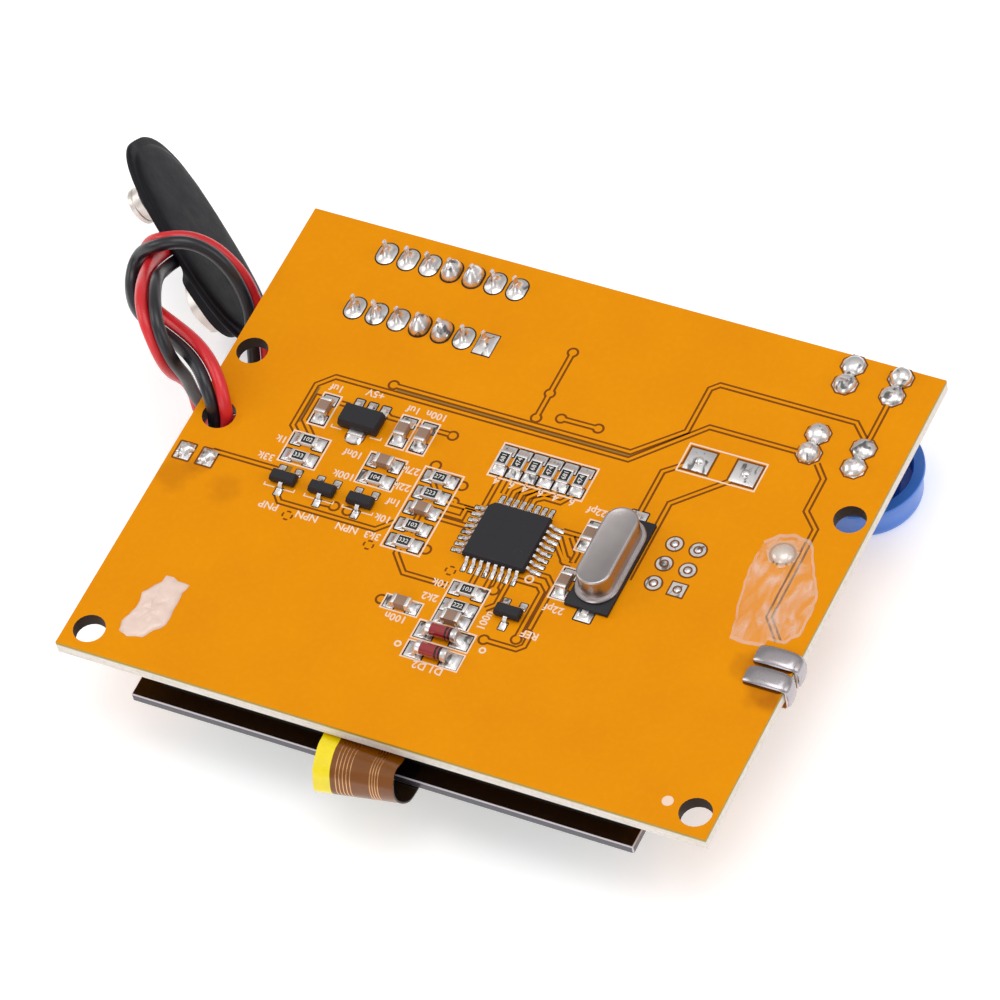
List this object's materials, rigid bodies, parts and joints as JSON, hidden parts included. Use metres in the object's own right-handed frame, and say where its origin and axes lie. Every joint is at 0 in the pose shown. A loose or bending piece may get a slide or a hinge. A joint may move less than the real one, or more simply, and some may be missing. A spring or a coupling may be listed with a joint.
{
  "type": "component tester",
  "caption": "Bare-board component tester with a display, a lever socket, a push button and a battery clip with two leads, lying on its face.",
  "frame": {"origin": "centre of the footprint without the leads and snap, on the plane that the socket's face stands on", "axes": "+X along the board's long side, +Y along its short side towards the socket and button, +Z out of the soldered side"},
  "size_m": [0.0938, 0.0675, 0.0204],
  "materials": {
    "board": "orange solder mask",
    "black_plastic": "matt black",
    "socket_plastic": "satin blue",
    "steel": "plated, satin",
    "ceramic_brown": "matt ceramic",
    "resistor_black": "satin black",
    "diode_glass": "clear orange-red",
    "display_glass": "glossy dark",
    "backlight": "milky",
    "flex": "amber film",
    "foam": "soft foam",
    "button_blue": "satin blue",
    "leatherette": "fine black grain",
    "nickel": "bright",
    "red_wire": "satin red",
    "black_wire": "satin black"
  },
  "bodies": {
    "tester": {"circuit_board": "board", "microcontroller": "black_plastic", "crystal_base": "black_plastic", "crystal_can": "steel", "voltage_regulator": "black_plastic", "transistor_1": "black_plastic", "transistor_2": "black_plastic", "transistor_3": "black_plastic", "transistor_4": "black_plastic", "diode_1": "diode_glass", "diode_2": "diode_glass", "resistor_1": "resistor_black", "resistor_2": "resistor_black", "resistor_3": "resistor_black", "resistor_4": "resistor_black", "resistor_5": "resistor_black", "resistor_6": "resistor_black", "resistor_7": "resistor_black", "resistor_8": "resistor_black", "resistor_9": "resistor_black", "resistor_10": "resistor_black", "resistor_11": "resistor_black", "resistor_12": "resistor_black", "resistor_13": "resistor_black", "resistor_14": "resistor_black", "resistor_15": "resistor_black", "capacitor_1": "ceramic_brown", "capacitor_2": "ceramic_brown", "capacitor_3": "ceramic_brown", "capacitor_4": "ceramic_brown", "capacitor_5": "ceramic_brown", "capacitor_6": "ceramic_brown", "capacitor_7": "ceramic_brown", "capacitor_8": "ceramic_brown", "capacitor_9": "ceramic_brown", "display_rear_glass": "display_glass", "display_front_glass": "display_glass", "display_polarizer": "display_glass", "display_driver_chip": "black_plastic", "display_backlight": "backlight", "foam_pad_left": "foam", "foam_pad_right": "foam", "flex_cable": "flex", "backlight_tab_1": "steel", "backlight_tab_2": "steel", "socket_base": "socket_plastic", "switch_base": "black_plastic", "switch_cover": "steel", "switch_dome": "steel", "snap_back_cover": "leatherette", "snap_front_plate": "black_plastic", "snap_stud": "nickel", "snap_socket": "nickel", "red_lead": "red_wire", "black_lead": "black_wire"},
    "lever": {"socket_lever": "steel"},
    "slide_plate": {"socket_cover": "socket_plastic"},
    "button": {"button_cap": "button_blue", "switch_plunger": "black_plastic"}
  },
  "joints": [
    {"name": "lever_hinge", "type": "hinge", "parent": "tester", "child": "lever", "pos_m": [-0.0052, 0.01835, 0.00345], "axis": [0, 1, 0], "range_deg": [0, 90]},
    {"name": "cover_slide", "type": "slide", "parent": "tester", "child": "slide_plate", "axis": [-1, 0, 0], "range_m": [0, 0.0009]},
    {"name": "button_press", "type": "slide", "parent": "tester", "child": "button", "axis": [0, 0, 1], "range_m": [0, 0.0003], "stiffness_N_per_m": 5000, "deforming": ["switch_dome"]}
  ],
  "couplings": [
    {"joint": "lever_hinge", "follows": "cover_slide", "rad_per_m": 1745.3}
  ]
}
